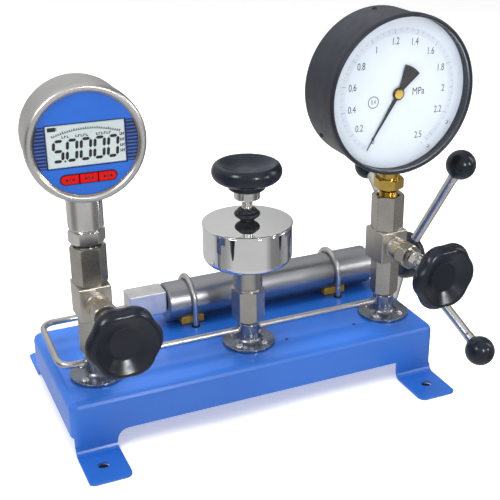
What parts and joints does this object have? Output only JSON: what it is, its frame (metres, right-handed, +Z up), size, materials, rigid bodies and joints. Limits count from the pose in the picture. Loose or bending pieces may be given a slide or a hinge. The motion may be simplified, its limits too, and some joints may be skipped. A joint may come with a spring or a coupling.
{
  "type": "hydraulic hand pump",
  "caption": "Bench hand pump: a screw press with a cross handle on a blue folded base feeds a digital gauge, an oil cup and a dial gauge through needle valves.",
  "frame": {"origin": "on the plane under the four feet, midway between them", "axes": "+X along the pump cylinder towards the handle, gauges facing -Y, +Z up"},
  "size_m": [0.4969, 0.3412, 0.4587],
  "materials": {
    "blue_paint": "smooth semi-gloss blue paint on folded sheet",
    "nickel": "machined, plated, satin to bright",
    "steel": "polished rod and tube",
    "stainless": "turned and brushed",
    "brushed": "brushed along the cylinder",
    "chrome": "mirror chrome plate",
    "grey_metal": "fine satin",
    "brass": "machined, bright",
    "bakelite": "moulded, polished black",
    "rubber": "smooth black",
    "black_paint": "semi-gloss black enamel",
    "blue_print": "printed blue face film",
    "display": "liquid crystal display under a clear window",
    "red_rubber": "moulded keys",
    "dial": "pale satin print",
    "glass": "clear, polished",
    "amber": "moulded amber polyurethane"
  },
  "bodies": {
    "pump_frame": {"analog_gauge_bezel": "black_paint", "analog_gauge_case": "black_paint", "analog_gauge_dial": "dial", "analog_gauge_glass": "glass", "analog_gauge_socket": "brass", "base_cover": "blue_paint", "bourdon_tube": "brass", "coupling_sleeve_left": "nickel", "coupling_sleeve_right": "nickel", "digital_display": "display", "digital_gauge_bezel": "stainless", "digital_gauge_case": "stainless", "digital_gauge_face": "blue_print", "digital_gauge_stem": "stainless", "inlet_block": "grey_metal", "loop_tube": "steel", "manifold_tube_left": "steel", "manifold_tube_right": "steel", "oil_cup": "chrome", "post_body_centre": "nickel", "post_body_left": "nickel", "post_body_right": "nickel", "post_flange_centre": "nickel", "post_flange_left": "nickel", "post_flange_right": "nickel", "pump_cylinder": "brushed", "saddle_left": "amber", "saddle_right": "amber", "u_bolt_left": "steel", "u_bolt_right": "steel", "valve_block_left": "nickel", "valve_block_right": "nickel", "valve_bonnet_left": "nickel", "valve_bonnet_right": "nickel"},
    "piston_body": {"piston": "steel"},
    "handle": {"spindle": "steel", "handle_hub": "bakelite", "handle_arm_1": "steel", "handle_arm_2": "steel", "handle_arm_3": "steel", "handle_arm_4": "steel", "handle_ball_1": "bakelite", "handle_ball_2": "bakelite", "handle_ball_3": "bakelite", "handle_ball_4": "bakelite"},
    "needle_left": {"valve_needle_left": "steel"},
    "knob_left": {"valve_stem_left": "nickel", "valve_knob_left": "bakelite"},
    "needle_right": {"valve_needle_right": "steel"},
    "knob_right": {"valve_stem_right": "nickel", "valve_knob_right": "bakelite"},
    "cup_needle_body": {"cup_needle": "steel"},
    "cup_wheel": {"cup_stem": "nickel", "cup_handwheel": "bakelite"},
    "cup_lid_body": {"cup_lid": "chrome", "cup_boot": "rubber"},
    "pointer": {"analog_gauge_pointer": "black_paint"},
    "key_left": {"button_left": "red_rubber"},
    "key_middle": {"button_middle": "red_rubber"},
    "key_right": {"button_right": "red_rubber"}
  },
  "joints": [
    {"name": "piston_slide", "type": "slide", "parent": "pump_frame", "child": "piston_body", "axis": [-1, 0, 0], "range_m": [0, 0.03]},
    {"name": "handle_turn", "type": "hinge", "parent": "piston_body", "child": "handle", "pos_m": [0.244, 0.046, 0.0805], "axis": [-1, 0, 0], "range_deg": [0, 3600]},
    {"name": "valve_needle_slide_left", "type": "slide", "parent": "pump_frame", "child": "needle_left", "axis": [0.0262, -0.9997, 0], "range_m": [0, 0.003]},
    {"name": "valve_knob_turn_left", "type": "hinge", "parent": "needle_left", "child": "knob_left", "pos_m": [-0.1605, -0.033, 0.1415], "axis": [0.0262, -0.9997, 0], "range_deg": [0, 720]},
    {"name": "valve_needle_slide_right", "type": "slide", "parent": "pump_frame", "child": "needle_right", "axis": [0.0767, -0.9971, 0], "range_m": [0, 0.003]},
    {"name": "valve_knob_turn_right", "type": "hinge", "parent": "needle_right", "child": "knob_right", "pos_m": [0.1665, -0.033, 0.1415], "axis": [0.0767, -0.9971, 0], "range_deg": [0, 720]},
    {"name": "cup_needle_slide", "type": "slide", "parent": "pump_frame", "child": "cup_needle_body", "axis": [0, 0, 1], "range_m": [0, 0.003]},
    {"name": "cup_wheel_turn", "type": "hinge", "parent": "cup_needle_body", "child": "cup_wheel", "pos_m": [0.0035, -0.033, 0.2], "axis": [0, 0, 1], "range_deg": [0, 720]},
    {"name": "cup_lid_lift", "type": "slide", "parent": "pump_frame", "child": "cup_lid_body", "axis": [0, 0, 1], "range_m": [0, 0.01]},
    {"name": "pointer_turn", "type": "hinge", "parent": "pump_frame", "child": "pointer", "pos_m": [0.1665, -0.042, 0.308], "axis": [0, 1, 0], "range_deg": [0, 298]},
    {"name": "key_press_left", "type": "slide", "parent": "pump_frame", "child": "key_left", "axis": [0.0593, 0.9982, 0], "range_m": [0, 0.001], "stiffness_N_per_m": 500},
    {"name": "key_press_middle", "type": "slide", "parent": "pump_frame", "child": "key_middle", "axis": [0.0593, 0.9982, 0], "range_m": [0, 0.001], "stiffness_N_per_m": 500},
    {"name": "key_press_right", "type": "slide", "parent": "pump_frame", "child": "key_right", "axis": [0.0593, 0.9982, 0], "range_m": [0, 0.001], "stiffness_N_per_m": 500}
  ],
  "couplings": [
    {"joint": "piston_slide", "follows": "handle_turn", "m_per_rad": 0.00047746},
    {"joint": "valve_needle_slide_left", "follows": "valve_knob_turn_left", "m_per_rad": 0.00023873},
    {"joint": "valve_needle_slide_right", "follows": "valve_knob_turn_right", "m_per_rad": 0.00023873},
    {"joint": "cup_needle_slide", "follows": "cup_wheel_turn", "m_per_rad": 0.00023873}
  ]
}
